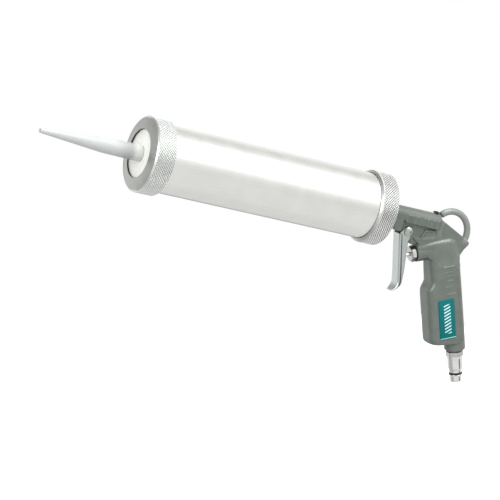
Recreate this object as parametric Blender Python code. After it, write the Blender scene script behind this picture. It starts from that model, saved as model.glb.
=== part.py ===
"""A compressed-air caulking gun for cartridges, as an assembly of its separate pieces.

Frame: metres, +Z up. The tube lies level along X with its nozzle toward -X, the grip hangs below
its rear end and leans backward, and the origin is at the middle of the grip. Lengths below are
in millimetres and MM turns them into metres where a mesh or an object is made.
"""

import math

import bmesh
import bpy
from mathutils import Vector

MM = 0.001

# Frames
GRIP_LEAN = 21.0            # degrees between the grip's axis and the vertical
AXIS_Z = 66.0               # height of the tube's axis over the middle of the grip
FRONT_X = -308.0            # front face of the front ring
GAP = 0.3                   # clearance between pieces that touch

# Tube, rings and cartridge, all about the tube's axis, with X counted from the front face
TUBE_R = 27.5
TUBE_WALL = 1.6
TUBE_START = 2.9
TUBE_END = 217.7
RING_R = 31.0
RING_LENGTH = 17.0
RING_HOLE_R = 19.7
RING_DOME = 1.6             # how far the edge of the hole stands in front of the face's rim
RING_FACE_R = 29.4
RING_BEVEL = 1.5            # smooth bevel between the ring's face and its knurl
RING_SEAT = -0.2            # the flange's inner face, which the cartridge bears on
RING_SHOULDER = 1.4
RING_STEP_R = 25.6
CAP_R = 30.6
CAP_LENGTH = 16.5
CAP_BACK = 225.5
CAP_COLLAR = 2.8            # smooth collar in front of the cap's knurl
CAP_COLLAR_R = 29.5
CAP_PLATE = 5.0
GASKET = 2.2
GASKET_HOLE_R = 20.5
CARTRIDGE_R = 25.0
CARTRIDGE_WALL = 1.1
CARTRIDGE_FACE = 2.0
NECK_R = 5.2
NECK_BORE_R = 3.6
NECK_LENGTH = 14.0
PLUNGER_R = 23.6
PLUNGER_LENGTH = 14.0
PLUNGER_BACK = 208.0

# Nozzle
NOZZLE_BASE_R = 6.75
NOZZLE_SHOULDER_R = 6.3
NOZZLE_SHOULDER = -33.0
NOZZLE_TIP = -88.1
NOZZLE_TIP_R = 1.9
NOZZLE_WALL = 0.8

# Hollow screw between the rear cap and the handle
ADAPTER_R = 5.0
ADAPTER_BORE_R = 2.6
ADAPTER_HEAD = 5.0
ADAPTER_HEX = 17.0
ADAPTER_REACH = 246.0
WASHER = 1.0
HANDLE_FRONT = 227.1

# Handle, in the part's X and Z unless it says otherwise
BARREL_R = 7.2
BARREL_BACK = -24.0
HOOD_FRONT, HOOD_BACK, HOOD_BOTTOM = -69.0, -60.3, 51.8
HOOD_CORNER = 4.5
HOOD_HALF = 6.2
PIVOT = (-54.1, 53.3)
LUG_R = 4.4
LUG_HALF = 4.4
WEB_HALF = 6.2
LOOP_CENTRE = (-11.0, 61.0)
LOOP_R = 16.9
LOOP_BAR_R = 2.9
LOOP_ANGLES = (137.0, -26.0)
VENT_X = -28.6
VENT_HOLE_R = 2.3
VENT_DOME_R = 2.9
VENT_DOME = 1.2

# Grip, in its own frame: u toward the rear, w down along the grip
GRIP_CORNER = 6.0
GRIP_HALF = 11.0
VALVE_W = -47.9             # the valve's axis runs along u at this w
VALVE_FRONT = -20.5
VALVE_BOSS_R = 7.0
CHAMBER_R = 5.2
CHAMBER_END = 12.5
OUTLET_U = -10.0
INLET_U = 9.8
INLET_BOSS_U = 10.4
INLET_R = 9.1
INLET_END = 43.3
INLET_THREAD_R = 6.6
PASSAGE_R = 3.0
PASSAGE_END = 282.2         # end of the air passage along the tube's axis

# Trigger, about its pivot, with the rear and down as for the part
TRIGGER_SHEET = 1.5
TRIGGER_EAR_R = 4.4
PIN_R = 1.6
PIN_HOLE_R = 1.65
# height, front of the web, depth of the flanges and half width, from the top to the flared tip
TRIGGER_STATIONS = [
    (-3.1, -7.2, 9.0, 6.4), (-12.2, -4.8, 7.9, 6.4), (-21.9, -2.2, 6.7, 6.4), (-32.7, 0.8, 5.2, 6.4),
    (-41.7, 3.0, 3.8, 6.4), (-44.7, 3.3, 3.2, 6.4), (-47.2, 2.7, 2.4, 6.4), (-49.7, 1.3, 2.0, 5.8),
    (-51.5, -0.6, 1.9, 4.0),
]

# Valve pieces, along u
NUT_FLATS = 12.0
STEM_R = 1.5
STEM_TIP = -39.6

# Quick-coupling plug
PLUG_FLATS = 13.6
PLUG_BORE_R = 2.4
PLUG_NECK_R = 4.8

ROUND = 64                  # sides of the large turned pieces
SMALL_ROUND = 32            # sides of the small ones

LEAN = math.radians(GRIP_LEAN)
UPWARD = (0.0, -math.pi / 2, 0.0)
DOWNWARD = (0.0, math.pi / 2, 0.0)
SIDEWAYS = (0.0, 0.0, math.pi / 2)

# Colour, metallic, roughness
FINISHES = {
    "tube_aluminium": ((0.80, 0.81, 0.79), 1.0, 0.38),
    "knurled_aluminium": ((0.66, 0.68, 0.66), 1.0, 0.42),
    "grey_paint": ((0.20, 0.23, 0.20), 0.15, 0.45),
    "trigger_zinc": ((0.55, 0.60, 0.59), 0.8, 0.35),
    "bright_chrome": ((0.80, 0.80, 0.79), 1.0, 0.12),
    "brass": ((0.62, 0.47, 0.22), 1.0, 0.30),
    "spring_steel": ((0.45, 0.45, 0.46), 1.0, 0.30),
    "black_rubber": ((0.02, 0.02, 0.02), 0.0, 0.70),
    "white_plastic": ((0.86, 0.86, 0.82), 0.0, 0.45),
    "milky_plastic": ((0.70, 0.72, 0.71), 0.0, 0.35),
    "label_teal": ((0.01, 0.17, 0.21), 0.0, 0.40),
}


def clear_scene():
    for thing in list(bpy.data.objects):
        bpy.data.objects.remove(thing, do_unlink=True)


def make_material(name):
    colour, metallic, roughness = FINISHES[name]
    material = bpy.data.materials.new(name)
    material.use_nodes = True
    shader = material.node_tree.nodes["Principled BSDF"]
    shader.inputs["Base Color"].default_value = (*colour, 1.0)
    shader.inputs["Metallic"].default_value = metallic
    shader.inputs["Roughness"].default_value = roughness
    material.diffuse_color = (*colour, 1.0)
    return material


def make_empty(name, location, turn=(0.0, 0.0, 0.0), parent=None):
    empty = bpy.data.objects.new(name, None)
    empty.parent = parent
    empty.location = Vector(location) * MM
    empty.rotation_euler = turn
    bpy.context.collection.objects.link(empty)
    return empty


def place(name, bm, material, parent, location=(0.0, 0.0, 0.0), turn=(0.0, 0.0, 0.0)):
    """Makes a named object of a mesh under construction, with its faces pointing outward. turn is
    UPWARD, DOWNWARD or SIDEWAYS for a body that was drawn along X and lies another way."""
    bmesh.ops.recalc_face_normals(bm, faces=bm.faces)
    mesh = bpy.data.meshes.new(name)
    bm.to_mesh(mesh)
    bm.free()
    mesh.shade_smooth()
    mesh.set_sharp_from_angle(angle=math.radians(35.0))
    piece = bpy.data.objects.new(name, mesh)
    if material:
        mesh.materials.append(material)
    piece.parent = parent
    piece.location = Vector(location) * MM
    piece.rotation_euler = turn
    bpy.context.collection.objects.link(piece)
    return piece


def as_guide(piece):
    """Marks a shape that only adds to or cuts another one."""
    piece.hide_render = True
    piece.display_type = "WIRE"
    return piece


def combine(piece, others, operation):
    for other in others:
        step = piece.modifiers.new(f"{operation.lower()}_{other.name}", "BOOLEAN")
        step.operation = operation
        step.solver = "EXACT"
        step.object = as_guide(other)


def turned(profile, sides=SMALL_ROUND):
    """A body of revolution about X. profile is a list of (x, radius); one that starts and ends
    on the axis is solid, and any other is closed into a ring."""
    bm = bmesh.new()
    points = [bm.verts.new((x * MM, 0.0, r * MM)) for x, r in profile]
    edges = [bm.edges.new(pair) for pair in zip(points, points[1:])]
    if profile[0][1] > 0.0:
        edges.append(bm.edges.new((points[-1], points[0])))
    bmesh.ops.spin(bm, geom=points + edges, cent=(0, 0, 0), axis=(1, 0, 0), angle=2 * math.pi,
                   steps=sides, use_merge=True)
    bmesh.ops.remove_doubles(bm, verts=bm.verts, dist=1e-7)
    return bm


def rod(start, end, radius, sides=SMALL_ROUND):
    return turned([(start, 0.0), (start, radius), (end, radius), (end, 0.0)], sides)


def washer(start, end, inner, outer, sides=SMALL_ROUND):
    return turned([(start, inner), (start, outer), (end, outer), (end, inner)], sides)


def extruded(outline, left, right):
    """A plate with an outline of (x, z) points, from y = left to y = right."""
    bm = bmesh.new()
    face = bm.faces.new([bm.verts.new((x * MM, left * MM, z * MM)) for x, z in outline])
    grown = bmesh.ops.extrude_face_region(bm, geom=[face])
    moved = [v for v in grown["geom"] if isinstance(v, bmesh.types.BMVert)]
    bmesh.ops.translate(bm, verts=moved, vec=(0, (right - left) * MM, 0))
    bmesh.ops.triangulate(bm, faces=[f for f in bm.faces if len(f.verts) > 4])
    return bm


def lofted(rings):
    """A closed body through rings of points that have the same number of points each."""
    bm = bmesh.new()
    loops = [[bm.verts.new(Vector(point) * MM) for point in ring] for ring in rings]
    count = len(rings[0])
    for lower, upper in zip(loops, loops[1:]):
        for i in range(count):
            j = (i + 1) % count
            bm.faces.new((lower[i], lower[j], upper[j], upper[i]))
    ends = [bm.faces.new(loops[0][::-1]), bm.faces.new(loops[-1])]
    bmesh.ops.triangulate(bm, faces=ends)
    return bm


def arc(centre, radius, start, end, steps):
    """Points on an arc, with angles in degrees."""
    for i in range(steps + 1):
        angle = math.radians(start + (end - start) * i / steps)
        yield centre[0] + radius * math.cos(angle), centre[1] + radius * math.sin(angle)


def rounded_rectangle(x_low, x_high, y_half, corner, steps=4):
    corners = [(x_high - corner, y_half - corner, 0), (x_low + corner, y_half - corner, 90),
               (x_low + corner, corner - y_half, 180), (x_high - corner, corner - y_half, 270)]
    return [point for x, y, start in corners for point in arc((x, y), corner, start, start + 90, steps)]


def hexagon_bar(profile, flats, start=-math.inf, end=math.inf):
    """A turned body that is held inside a hexagon from start to end, as a nut's head is."""
    bm = turned(profile, 6 * 6)
    for vert in bm.verts:
        radius = math.hypot(vert.co.y, vert.co.z)
        if radius > 0.0 and start - 0.01 < vert.co.x / MM < end + 0.01:
            angle = math.atan2(vert.co.z, vert.co.y) % math.radians(60.0) - math.radians(30.0)
            limit = flats / 2 * MM / math.cos(angle)
            shrink = min(1.0, limit / radius)
            vert.co.y *= shrink
            vert.co.z *= shrink
    return bm


def lean_point(u, w):
    """The part's X and Z of a point given in the grip's frame."""
    return (u * math.cos(LEAN) + w * math.sin(LEAN), u * math.sin(LEAN) - w * math.cos(LEAN))


def build_front(axis, paint):
    thread_r = TUBE_R + GAP
    ring = [(0.4 - RING_DOME, RING_HOLE_R), (-RING_DOME, RING_HOLE_R + 0.4),
            (-0.7 * RING_DOME, RING_HOLE_R + 4.0), (0.0, RING_FACE_R), (RING_BEVEL, RING_R),
            (RING_LENGTH - 0.6, RING_R), (RING_LENGTH, RING_R - 0.6), (RING_LENGTH, thread_r + 1.0),
            (RING_LENGTH - 1.0, thread_r), (RING_SHOULDER, thread_r), (RING_SHOULDER, RING_STEP_R),
            (RING_SEAT, RING_STEP_R), (RING_SEAT, RING_HOLE_R)]
    place("front_ring", turned(ring, ROUND), paint["knurled_aluminium"], axis)

    inner = TUBE_R - TUBE_WALL
    tube = [(TUBE_START, inner), (TUBE_START, TUBE_R), (TUBE_END, TUBE_R), (TUBE_END, inner)]
    place("barrel_tube", turned(tube, ROUND), paint["tube_aluminium"], axis)

    face = RING_SEAT + GAP
    back_face = face + CARTRIDGE_FACE
    shell = CARTRIDGE_R - CARTRIDGE_WALL
    neck_end = face - NECK_LENGTH
    cartridge = [(TUBE_END, shell), (TUBE_END, CARTRIDGE_R), (face + 0.8, CARTRIDGE_R),
                 (face, CARTRIDGE_R - 0.8), (face, NECK_R), (neck_end + 0.5, NECK_R),
                 (neck_end, NECK_R - 0.5), (neck_end, NECK_BORE_R), (back_face, NECK_BORE_R),
                 (back_face, shell - 1.0), (back_face + 1.0, shell)]
    place("cartridge_body", turned(cartridge, ROUND), paint["white_plastic"], axis)

    front = PLUNGER_BACK - PLUNGER_LENGTH
    plunger = [(front, 0.0), (front, PLUNGER_R - 2.5), (front + 1.5, PLUNGER_R),
               (PLUNGER_BACK, PLUNGER_R), (PLUNGER_BACK, PLUNGER_R - 1.5),
               (front + 3.0, PLUNGER_R - 2.5), (front + 2.5, 0.0)]
    place("cartridge_plunger", turned(plunger, ROUND), paint["milky_plastic"], axis)

    seat = face - GAP
    bore = NECK_R + GAP
    nozzle = [(seat, bore), (seat, NOZZLE_BASE_R), (NOZZLE_SHOULDER, NOZZLE_SHOULDER_R),
              (NOZZLE_TIP, NOZZLE_TIP_R), (NOZZLE_TIP, NOZZLE_TIP_R - NOZZLE_WALL),
              (NOZZLE_SHOULDER - 2.0, NOZZLE_SHOULDER_R - 1.3), (neck_end - 1.0, bore - 0.4),
              (neck_end - GAP, bore)]
    place("nozzle", turned(nozzle), paint["milky_plastic"], axis)


def build_rear(axis, paint):
    lip = CAP_BACK - CAP_LENGTH
    plate = CAP_BACK - CAP_PLATE
    bore = TUBE_R + GAP
    hole = ADAPTER_R + GAP
    cap = [(lip, bore + 0.6), (lip, CAP_COLLAR_R - 0.6), (lip + 0.6, CAP_COLLAR_R),
           (lip + CAP_COLLAR, CAP_COLLAR_R), (lip + CAP_COLLAR + 0.8, CAP_R), (CAP_BACK - 1.0, CAP_R),
           (CAP_BACK, CAP_R - 1.0), (CAP_BACK, hole), (plate, hole), (plate, bore), (lip + 1.2, bore)]
    place("rear_cap", turned(cap, ROUND), paint["knurled_aluminium"], axis)

    gasket_back = plate - GAP
    place("rear_gasket", washer(gasket_back - GASKET, gasket_back, GASKET_HOLE_R, TUBE_R - GAP, ROUND),
          paint["black_rubber"], axis)

    head_back = plate - GAP
    head_front = head_back - ADAPTER_HEAD
    corner = ADAPTER_HEX / 2 / math.cos(math.radians(30.0))
    screw = [(head_front, ADAPTER_BORE_R), (head_front, corner - 1.2), (head_front + 0.7, corner),
             (head_back, corner), (head_back, ADAPTER_R), (ADAPTER_REACH - 0.7, ADAPTER_R),
             (ADAPTER_REACH, ADAPTER_R - 0.7), (ADAPTER_REACH, ADAPTER_BORE_R)]
    place("barrel_adapter", hexagon_bar(screw, ADAPTER_HEX), paint["brass"], axis)

    start = CAP_BACK + GAP
    place("outlet_washer", washer(start, start + WASHER, ADAPTER_R + GAP, ADAPTER_R + 3.5),
          paint["black_rubber"], axis)


def grip_ring(w, front, back, half, corner, slope=0.0):
    """One section across the grip; slope tilts it so that its rear is lower than its front."""
    return [(u, y, -(w + slope * u)) for u, y in rounded_rectangle(front, back, half, corner)]


def handle_masses(world, axis, grip):
    """The solids that the casting is the union of, except its barrel."""
    hood = [(HOOD_BACK, AXIS_Z), (HOOD_FRONT, AXIS_Z)]
    hood += arc((HOOD_FRONT + HOOD_CORNER, HOOD_BOTTOM + HOOD_CORNER), HOOD_CORNER, 180, 270, 5)
    hood += arc((HOOD_BACK - 2.0, HOOD_BOTTOM + 2.0), 2.0, 270, 360, 4)

    lug = [(-47.0, AXIS_Z), (HOOD_FRONT + 3.0, AXIS_Z), (HOOD_FRONT + 4.0, PIVOT[1] + 1.0)]
    lug += arc(PIVOT, LUG_R, 180, 330, 8)

    loop_end = list(arc(LOOP_CENTRE, LOOP_R, LOOP_ANGLES[1], LOOP_ANGLES[1] + 1, 1))[0]
    web = [(-49.4, AXIS_Z - 4.0), (-49.0, 53.0), (-46.0, 47.8), (-40.8, 45.0), (-36.0, 42.0),
           lean_point(-4.0, -36.0),
           lean_point(12.0, -38.0), lean_point(17.4, -40.5), lean_point(21.0, -44.3),
           (loop_end[0] + 3.0, loop_end[1] + 0.2), (loop_end[0] + 2.6, loop_end[1] + 2.4),
           (-1.7, 59.8), (-24.2, 69.1), (-30.0, AXIS_Z)]

    sections = [
        grip_ring(-52.0, -8.0, 13.0, 5.0, 3.0), grip_ring(-46.0, -11.0, 17.0, 7.0, 4.0),
        grip_ring(-40.0, -12.3, 17.0, 9.3, 5.0), grip_ring(-34.0, -12.3, 16.3, 10.6, GRIP_CORNER),
        grip_ring(-24.0, -12.3, 16.3, GRIP_HALF, GRIP_CORNER),
        grip_ring(-21.3, -12.4, 16.4, GRIP_HALF, GRIP_CORNER),
        grip_ring(-18.8, -13.7, 16.4, GRIP_HALF, GRIP_CORNER),
        grip_ring(-16.5, -15.5, 16.5, GRIP_HALF, GRIP_CORNER),
        grip_ring(-14.2, -16.6, 16.5, GRIP_HALF, GRIP_CORNER),
        grip_ring(-10.0, -16.9, 16.6, GRIP_HALF, GRIP_CORNER),
        grip_ring(30.6, -16.6, 17.2, GRIP_HALF, GRIP_CORNER, 0.08),
        grip_ring(33.4, -15.8, 16.9, GRIP_HALF - 0.5, GRIP_CORNER, 0.10),
        grip_ring(34.8, -14.0, 16.0, GRIP_HALF - 1.6, GRIP_CORNER, 0.11),
        grip_ring(35.3, -11.6, 14.5, GRIP_HALF - 3.5, GRIP_CORNER, 0.12),
    ]

    valve = [(VALVE_FRONT, 0.0), (VALVE_FRONT, VALVE_BOSS_R - 0.5), (VALVE_FRONT + 0.5, VALVE_BOSS_R),
             (12.0, VALVE_BOSS_R), (14.0, VALVE_BOSS_R - 2.0), (14.0, 0.0)]
    inlet = [(24.0, 0.0), (24.0, INLET_R), (INLET_END - 1.4, INLET_R), (INLET_END, INLET_R - 1.4),
             (INLET_END, 0.0)]

    loop = []
    for x, z in arc(LOOP_CENTRE, LOOP_R, *LOOP_ANGLES, 20):
        outward = Vector((x - LOOP_CENTRE[0], 0.0, z - LOOP_CENTRE[1])).normalized()
        ring = [(a, b) for a, b in arc((0.0, 0.0), LOOP_BAR_R, 0, 330, 11)]
        loop.append([Vector((x, 0.0, z)) + outward * a + Vector((0.0, b, 0.0)) for a, b in ring])

    return [
        place("hood_mass", extruded(hood, -HOOD_HALF, HOOD_HALF), None, world),
        place("lug_mass", extruded(lug, -LUG_HALF, LUG_HALF), None, world),
        place("web_mass", extruded(web, -WEB_HALF, WEB_HALF), None, world),
        place("grip_mass", lofted(sections), None, grip),
        place("valve_mass", turned(valve), None, grip, (0.0, 0.0, -VALVE_W)),
        place("inlet_mass", turned(inlet), None, grip, (INLET_BOSS_U, 0.0, 0.0), DOWNWARD),
        place("loop_mass", lofted(loop), None, world),
    ]


def handle_cuts(world, axis, grip):
    """The air passages and threaded holes inside the casting."""
    valve_height = -VALVE_W
    return [
        place("adapter_hole", rod(HANDLE_FRONT - 2.0, ADAPTER_REACH + 1.5, ADAPTER_R + GAP), None, axis),
        place("barrel_passage", rod(ADAPTER_REACH - 2.0, PASSAGE_END, PASSAGE_R, 20), None, axis),
        place("chamber", rod(VALVE_FRONT - 2.0, CHAMBER_END, CHAMBER_R), None, grip,
              (0.0, 0.0, valve_height)),
        place("outlet_passage", rod(2.0, 26.0, 2.2, 16), None, grip,
              (OUTLET_U, 0.0, valve_height), UPWARD),
        place("inlet_thread", rod(30.0, INLET_END + 2.0, INLET_THREAD_R), None, grip,
              (INLET_U, 0.0, 0.0), DOWNWARD),
        place("inlet_passage", rod(VALVE_W, 32.0, PASSAGE_R, 20), None, grip,
              (INLET_U, 0.0, 0.0), DOWNWARD),
        place("vent_hole", rod(0.5, 10.0, VENT_HOLE_R, 20), None, world,
              (VENT_X, 0.0, AXIS_Z), UPWARD),
        place("pin_hole", rod(-9.0, 9.0, PIN_HOLE_R), None, world, (PIVOT[0], 0.0, PIVOT[1]), SIDEWAYS),
    ]


def build_handle(world, axis, grip, paint):
    back = BARREL_BACK - FRONT_X
    barrel = [(HANDLE_FRONT, 0.0), (HANDLE_FRONT, BARREL_R), (back - 1.5, BARREL_R),
              (back, BARREL_R - 1.5), (back, 0.0)]
    handle = place("handle_body", turned(barrel), paint["grey_paint"], axis)
    combine(handle, handle_masses(world, axis, grip), "UNION")
    combine(handle, handle_cuts(world, axis, grip), "DIFFERENCE")

    shank_r = VENT_HOLE_R - GAP
    brim = BARREL_R + GAP
    dome = [(3.6, 0.0), (3.6, shank_r), (brim, shank_r), (brim, VENT_DOME_R)]
    dome += [(brim + 0.3 + VENT_DOME * height, VENT_DOME_R * width)
             for width, height in arc((0.0, 0.0), 1.0, 0, 75, 5)]
    dome.append((brim + 0.3 + VENT_DOME, 0.0))
    place("vent_plug", turned(dome, 24), paint["black_rubber"], world, (VENT_X, 0.0, AXIS_Z), UPWARD)

    label = [(-8.8, 4.5), (5.6, 4.5), (5.6, -28.4), (-8.8, -28.4)]
    place("grip_label", extruded(label, -GRIP_HALF - 0.65, -GRIP_HALF - GAP), paint["label_teal"], grip)


def build_trigger(pivot, paint):
    sheet = TRIGGER_SHEET
    bend = 1.2
    rings = []
    for z, front, depth, half in TRIGGER_STATIONS:
        back = front + depth
        section = [(back, -half), (front + bend, -half), (front, bend - half), (front, half - bend),
                   (front + bend, half), (back, half), (back, half - sheet),
                   (front + sheet, half - sheet), (front + sheet, sheet - half), (back, sheet - half)]
        rings.append([(x, y, z) for x, y in section])
    trigger = place("trigger", lofted(rings), paint["trigger_zinc"], pivot)

    top_z, top_front, _, half = TRIGGER_STATIONS[0]
    ear = [(top_front + 2.2, top_z - 4.0), (2.9, top_z - 4.0)]
    ear += arc((0.0, 0.0), TRIGGER_EAR_R, -15, 150, 10)
    ear += [(top_front + 0.8, top_z + 1.5)]
    inner, outer = half - sheet - 0.1, half + 0.1
    ears = [place("ear_right", extruded(ear, inner, outer), None, pivot),
            place("ear_left", extruded(ear, -outer, -inner), None, pivot)]
    combine(trigger, ears, "UNION")
    hole = place("trigger_hole", rod(-9.0, 9.0, PIN_HOLE_R), None, pivot, turn=SIDEWAYS)
    combine(trigger, [hole], "DIFFERENCE")

    head = outer + GAP
    pin = [(-head - 1.1, 0.0), (-head - 1.0, 1.8), (-head - 0.5, 2.8), (-head, 3.0), (-head, PIN_R),
           (head, PIN_R), (head, 3.0), (head + 0.5, 2.8), (head + 1.0, 1.8), (head + 1.1, 0.0)]
    place("trigger_pin", turned(pin, 24), paint["bright_chrome"], pivot, turn=SIDEWAYS)


def coil(start, end, radius, wire, turns):
    """A compression spring along X, as a tube of wire swept along a helix."""
    steps = 14 * turns
    rings = []
    for i in range(steps + 1):
        share = i / steps
        angle = 2 * math.pi * turns * share
        outward = Vector((0.0, math.cos(angle), math.sin(angle)))
        centre = Vector((start + wire + (end - start - 2 * wire) * share, 0.0, 0.0)) + outward * radius
        rings.append([centre + outward * a + Vector((b, 0.0, 0.0))
                      for a, b in arc((0.0, 0.0), wire, 0, 300, 5)])
    return lofted(rings)


def build_valve(valve, paint):
    """The pieces of the trigger valve, along the valve's axis from front to rear."""
    face = VALVE_FRONT - GAP
    place("gland_washer", washer(face - 0.8, face, 5.2, 6.4), paint["black_rubber"], valve)

    seat = face - 0.8 - GAP
    front = seat - 6.3
    corner = NUT_FLATS / 2 / math.cos(math.radians(30.0))
    packing = -17.0
    nut = [(front, STEM_R + GAP), (front, corner - 1.0), (front + 0.6, corner), (seat, corner),
           (seat, CHAMBER_R - GAP), (-14.0, CHAMBER_R - GAP), (-14.0, 3.7), (packing, 3.7),
           (packing, STEM_R + GAP)]
    place("gland_nut", hexagon_bar(nut, NUT_FLATS), paint["bright_chrome"], valve)

    ring = [(x + packing + 1.2, r + 2.6) for x, r in arc((0.0, 0.0), 0.75, 0, 324, 9)]
    place("stem_seal", turned(ring, 24), paint["black_rubber"], valve)

    stem_end = -1.5
    stem = [(STEM_TIP, 0.0), (STEM_TIP + 0.15, 0.8), (STEM_TIP + 0.7, STEM_R), (stem_end, STEM_R),
            (stem_end, 0.0)]
    place("valve_stem", turned(stem, 24), paint["bright_chrome"], valve)

    place("valve_seat", washer(-6.0, -3.0, 2.6, CHAMBER_R - GAP), paint["brass"], valve)
    place("poppet_seal", washer(-2.7, -1.5, STEM_R + GAP, 3.9), paint["black_rubber"], valve)
    poppet = [(-1.2, 0.0), (-1.2, 4.1), (0.6, 4.1), (0.6, 1.8), (2.6, 1.6), (2.6, 0.0)]
    place("valve_poppet", turned(poppet), paint["brass"], valve)
    place("valve_spring", coil(0.9, CHAMBER_END - GAP, 2.6, 0.4, 6), paint["spring_steel"], valve)


def build_plug(inlet, paint):
    """The quick-coupling plug, along its axis from the handle down."""
    top = INLET_END + GAP
    place("inlet_washer", washer(top, top + 0.8, INLET_THREAD_R, 7.9), paint["black_rubber"], inlet)

    start = top + 0.8 + GAP
    waist = start + 5.0
    body = start + 14.6
    ring_front = body + 3.3
    ring_back = ring_front + 2.0
    nose = start + 26.4
    plug = [(34.0, PLUG_BORE_R), (34.0, INLET_THREAD_R - GAP), (start, INLET_THREAD_R - GAP),
            (start, 7.5), (waist - 2.0, 7.5), (waist, 6.4), (body, 6.2), (body + 1.7, PLUG_NECK_R),
            (ring_back + GAP, PLUG_NECK_R), (ring_back + GAP, 5.7), (ring_back + 0.8, 5.7),
            (ring_back + 1.4, 4.6), (nose - 0.8, 4.6), (nose, 3.9), (nose, PLUG_BORE_R)]
    place("air_plug", hexagon_bar(plug, PLUG_FLATS, start, waist), paint["bright_chrome"], inlet)

    middle = (ring_front + ring_back) / 2
    ring = [(middle + 1.0 * x, PLUG_NECK_R + GAP + 0.6 * (1.0 + r)) for x, r in arc((0, 0), 1.0, 0, 330, 11)]
    place("plug_o_ring", turned(ring), paint["black_rubber"], inlet)


def main():
    clear_scene()
    paint = {name: make_material(name) for name in FINISHES}
    world = make_empty("part_frame", (0.0, 0.0, 0.0))
    axis = make_empty("tube_axis", (FRONT_X, 0.0, AXIS_Z))
    grip = make_empty("grip_frame", (0.0, 0.0, 0.0), (0.0, -LEAN, 0.0))
    pivot = make_empty("trigger_pivot", (PIVOT[0], 0.0, PIVOT[1]))
    valve = make_empty("valve_axis", (0.0, 0.0, -VALVE_W), parent=grip)
    inlet = make_empty("inlet_axis", (INLET_U, 0.0, 0.0), DOWNWARD, grip)
    build_front(axis, paint)
    build_rear(axis, paint)
    build_handle(world, axis, grip, paint)
    build_trigger(pivot, paint)
    build_valve(valve, paint)
    build_plug(inlet, paint)


main()
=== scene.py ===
"""The looks of a compressed-air caulking gun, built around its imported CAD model.

Every piece is drawn in millimetres in one of six frames (the whole gun, the tube's axis, the grip,
the valve's axis, the inlet's axis or the trigger's pivot) and then moved into the row frame, which
is in metres with +Z up. The tube lies along X with its nozzle toward -X.
"""

import math

import bmesh
import bpy
from mathutils import Matrix, Vector


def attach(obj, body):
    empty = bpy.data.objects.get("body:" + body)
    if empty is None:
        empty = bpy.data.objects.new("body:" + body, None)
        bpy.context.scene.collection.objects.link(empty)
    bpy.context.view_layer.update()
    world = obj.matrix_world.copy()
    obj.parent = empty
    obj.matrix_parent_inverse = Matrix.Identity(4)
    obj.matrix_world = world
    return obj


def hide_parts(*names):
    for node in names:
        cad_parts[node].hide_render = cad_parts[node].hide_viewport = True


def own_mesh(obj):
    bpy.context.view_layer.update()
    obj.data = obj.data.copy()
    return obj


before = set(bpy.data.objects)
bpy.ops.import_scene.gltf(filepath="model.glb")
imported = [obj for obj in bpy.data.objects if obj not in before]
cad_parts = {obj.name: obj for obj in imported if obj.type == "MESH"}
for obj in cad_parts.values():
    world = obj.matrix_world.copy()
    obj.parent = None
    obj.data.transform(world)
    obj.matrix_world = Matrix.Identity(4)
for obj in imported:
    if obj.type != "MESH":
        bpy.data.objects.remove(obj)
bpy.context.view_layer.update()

MM = 0.001

# Frames of the CAD model
AXIS_Z = 66.0
FRONT_X = -308.0
LEAN = math.radians(21.0)
PIVOT = (-54.1, 53.3)
VALVE_W = -47.9
INLET_U = 9.8

WHOLE = Matrix.Identity(4)
AXIS = Matrix.Translation((FRONT_X, 0.0, AXIS_Z))
GRIP = Matrix.Rotation(-LEAN, 4, "Y")
VALVE = GRIP @ Matrix.Translation((0.0, 0.0, -VALVE_W))
INLET = GRIP @ Matrix.Translation((INLET_U, 0.0, 0.0)) @ Matrix.Rotation(math.pi / 2, 4, "Y")
TRIGGER = Matrix.Translation((PIVOT[0], 0.0, PIVOT[1]))
UPWARD = Matrix.Rotation(-math.pi / 2, 4, "Y")
SIDEWAYS = Matrix.Rotation(math.pi / 2, 4, "Z")

# Front ring and rear cap, with X counted from the front ring's face
RING_R = 31.0
RING_LENGTH = 17.0
RING_HOLE_R = 19.7
RING_DOME = 1.6
RING_FACE_R = 29.4
RING_BEVEL = 1.3
RING_SEAT = -0.1
RING_STEP_R = 25.6
THREAD_ROOF_R = 27.8
CAP_R = 30.6
CAP_LIP = 209.0
CAP_KNURL = 211.6
CAP_BACK = 225.5
CAP_PLATE = 220.5
CAP_COLLAR_R = 30.1
CAP_CHAMFER = 1.3
ADAPTER_HOLE_R = 5.3
KNURL_DEPTH = 0.5
KNURL_COLUMNS = 336         # a multiple of four: four columns to a diamond

# Tube and cartridge
TUBE_R = 27.5
TUBE_INNER_R = 25.9
TUBE_START = 2.9
TUBE_END = 217.7
THREAD_END = 16.2
THREAD_PITCH = 1.5
THREAD_DEPTH = 0.42
CARTRIDGE_R = 25.0
CARTRIDGE_INNER_R = 23.9
CARTRIDGE_FACE = 0.2
NECK_R = 5.2
NECK_BORE_R = 3.6
NECK_END = -13.9

# Nozzle
NOZZLE_SEAT = -0.1
NOZZLE_BASE_R = 6.75
NOZZLE_SHOULDER = -33.0
NOZZLE_SHOULDER_R = 6.3
NOZZLE_TIP = -88.1
NOZZLE_TIP_R = 1.9
NOZZLE_WALL = 0.8

# Handle
VENT_X = -28.6
GRIP_HALF = 11.0
LOOP_CENTRE = (-11.0, 61.0)

# Valve, along its axis from front to rear
VALVE_FRONT = -23.4
VALVE_BOSS_R = 7.4
CHAMBER_R = 5.2
STEM_R = 1.5
STEM_TIP = -39.6
STEM_END = -1.5
NUT_FRONT = -28.2
NUT_SEAT = -24.4
NUT_FLATS = 12.0
NUT_TURN = 15.0             # degrees by which the nut's corners are turned
NUT_SKIRT_R = 4.9
NUT_END = -14.0
PACKING = -17.0
SPRING_START = 0.8
SPRING_END = 12.2
SPRING_R = 2.6
SPRING_WIRE_R = 0.38
SPRING_TURNS = 6

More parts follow.
